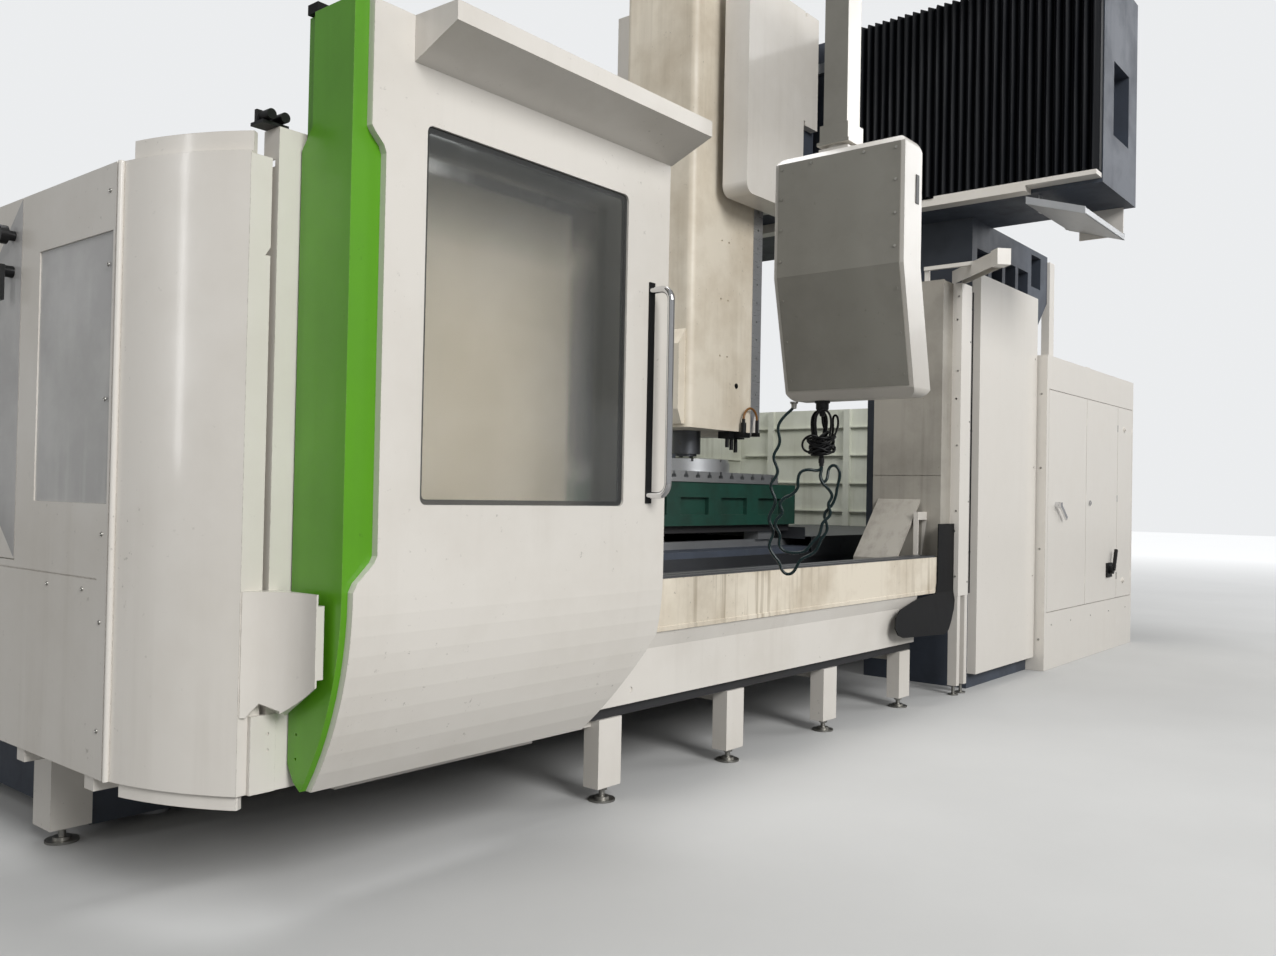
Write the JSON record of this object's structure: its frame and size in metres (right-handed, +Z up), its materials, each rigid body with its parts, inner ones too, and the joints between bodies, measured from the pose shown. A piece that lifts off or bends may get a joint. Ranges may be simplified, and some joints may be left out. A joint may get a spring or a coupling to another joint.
{
  "type": "cnc machining center",
  "caption": "Double-column machining centre with travelling table, crossbeam saddle and ram, sliding front door, bellows, hanging control pendant and electrical cabinet",
  "frame": {"origin": "centre of the machine's footprint, on the floor", "axes": "+X along the operator front from the left end wall to the electrical cabinet, +Y from the operator side to the rear, +Z up"},
  "size_m": [8.922, 6.118, 5.23],
  "materials": {
    "white_paint": "semi-gloss",
    "cream_paint": "semi-gloss",
    "green_paint": "semi-gloss",
    "dark_green_paint": "satin",
    "casting_paint": "satin",
    "grey_paint": "satin",
    "machined_steel": "ground",
    "dark_steel": "satin",
    "window": "hazy",
    "bellows_cloth": "matt",
    "black_plastic": "matt",
    "chrome_bar": "polished",
    "red_plastic": "gloss"
  },
  "bodies": {
    "machine": {"bed": "casting_paint", "column_front": "casting_paint", "column_rear": "casting_paint", "crossbeam": "casting_paint", "beam_ledge": "white_paint", "drip_trays": "machined_steel", "bellows_front": "bellows_cloth", "bellows_rear": "bellows_cloth", "corner_panel": "white_paint", "end_wall": "white_paint", "end_glass": "window", "front_panel": "cream_paint", "guide_brackets": "black_plastic", "side_fairing": "white_paint", "sill": "cream_paint", "sill_strip": "dark_steel", "lower_panel": "white_paint", "legs": "white_paint", "feet": "machined_steel", "inner_wall": "grey_paint", "column_cover": "white_paint", "top_arm": "white_paint", "apron": "bellows_cloth", "enclosure_rear": "white_paint", "cabinet": "white_paint", "cover_left_a": "dark_steel", "cover_right_b": "dark_steel"},
    "door": {"door_skin": "white_paint", "door_frame": "green_paint", "door_glass": "window", "door_canopy": "white_paint", "door_handle": "chrome_bar"},
    "end_leaf": {"end_door": "white_paint", "end_latches": "black_plastic"},
    "table": {"table_plate": "machined_steel", "table_casting": "dark_green_paint", "cover_left_c": "dark_steel", "cover_right_a": "dark_steel"},
    "way_mid": {"cover_left_b": "dark_steel"},
    "faceplate": {"disc": "machined_steel"},
    "saddle_body": {"saddle": "casting_paint", "saddle_cover": "white_paint"},
    "ram_body": {"ram": "cream_paint", "ram_rails": "machined_steel", "coolant_line": "black_plastic"},
    "spindle_body": {"spindle": "dark_steel"},
    "boom": {"boom_arm": "white_paint", "drop_arm": "white_paint"},
    "pendant": {"pendant_housing": "white_paint", "pendant_back": "grey_paint", "pendant_screen": "window", "pendant_keys": "grey_paint", "pendant_cord": "black_plastic"},
    "stop_button": {"estop": "red_plastic"},
    "feed_knob": {"override_knob": "black_plastic"},
    "leaf_left": {"cab_door_left": "white_paint"},
    "leaf_right": {"cab_door_right": "white_paint"},
    "leaf_side": {"cab_door_side": "white_paint"},
    "leaf_handle": {"cab_handle": "chrome_bar"},
    "main_switch": {"switch_lever": "black_plastic"}
  },
  "joints": [
    {"name": "door_slide", "type": "slide", "parent": "machine", "child": "door", "axis": [1, 0, 0], "range_m": [0, 1.5]},
    {"name": "end_door_hinge", "type": "hinge", "parent": "machine", "child": "end_leaf", "pos_m": [-4.418, 0.307, 1.5], "axis": [0, 0, -1], "range_deg": [0, 100]},
    {"name": "table_slide", "type": "slide", "parent": "machine", "child": "table", "axis": [1, 0, 0], "range_m": [-0.98, 1.05]},
    {"name": "way_mid_slide", "type": "slide", "parent": "machine", "child": "way_mid", "axis": [1, 0, 0], "range_m": [-0.49, 0.525]},
    {"name": "disc_turn", "type": "hinge", "parent": "table", "child": "faceplate", "pos_m": [-0.129, -0.456, 1.44], "axis": [0, 0, 1], "continuous": true},
    {"name": "saddle_slide", "type": "slide", "parent": "machine", "child": "saddle_body", "axis": [0, 1, 0], "range_m": [-0.4, 1.5], "deforming": ["bellows_front", "bellows_rear"]},
    {"name": "ram_slide", "type": "slide", "parent": "saddle_body", "child": "ram_body", "axis": [0, 0, 1], "range_m": [0, 0.8]},
    {"name": "spindle_turn", "type": "hinge", "parent": "ram_body", "child": "spindle_body", "pos_m": [-0.129, -0.456, 1.6], "axis": [0, 0, 1], "continuous": true},
    {"name": "boom_swing", "type": "hinge", "parent": "machine", "child": "boom", "pos_m": [1.041, -2.536, 4.6], "axis": [0, 0, 1], "range_deg": [0, 85]},
    {"name": "pendant_swivel", "type": "hinge", "parent": "boom", "child": "pendant", "pos_m": [-2.224, -2.741, 2.58], "axis": [0, 0, 1], "range_deg": [-90, 90]},
    {"name": "stop_press", "type": "slide", "parent": "pendant", "child": "stop_button", "axis": [-0.9752, 0, -0.2215], "range_m": [0, 0.005]},
    {"name": "feed_turn", "type": "hinge", "parent": "pendant", "child": "feed_knob", "pos_m": [-2.0952, -2.946, 1.7375], "axis": [0.9752, 0, 0.2215], "range_deg": [-135, 135]},
    {"name": "leaf_left_hinge", "type": "hinge", "parent": "machine", "child": "leaf_left", "pos_m": [3.12, -2.056, 1.25], "axis": [0, 0, 1], "range_deg": [0, 100]},
    {"name": "leaf_right_hinge", "type": "hinge", "parent": "machine", "child": "leaf_right", "pos_m": [3.988, -2.056, 1.25], "axis": [0, 0, 1], "range_deg": [0, 100]},
    {"name": "leaf_side_hinge", "type": "hinge", "parent": "machine", "child": "leaf_side", "pos_m": [4.431, -2.056, 1.25], "axis": [0, 0, 1], "range_deg": [0, 100]},
    {"name": "handle_turn", "type": "hinge", "parent": "leaf_left", "child": "leaf_handle", "pos_m": [2.391, -2.056, 1.226], "axis": [0, -1, 0], "range_deg": [0, 90]},
    {"name": "switch_turn", "type": "hinge", "parent": "leaf_right", "child": "main_switch", "pos_m": [3.758, -2.07, 0.68], "axis": [0, 1, 0], "range_deg": [0, 90]}
  ],
  "couplings": [
    {"joint": "way_mid_slide", "follows": "table_slide", "ratio": 0.5}
  ]
}
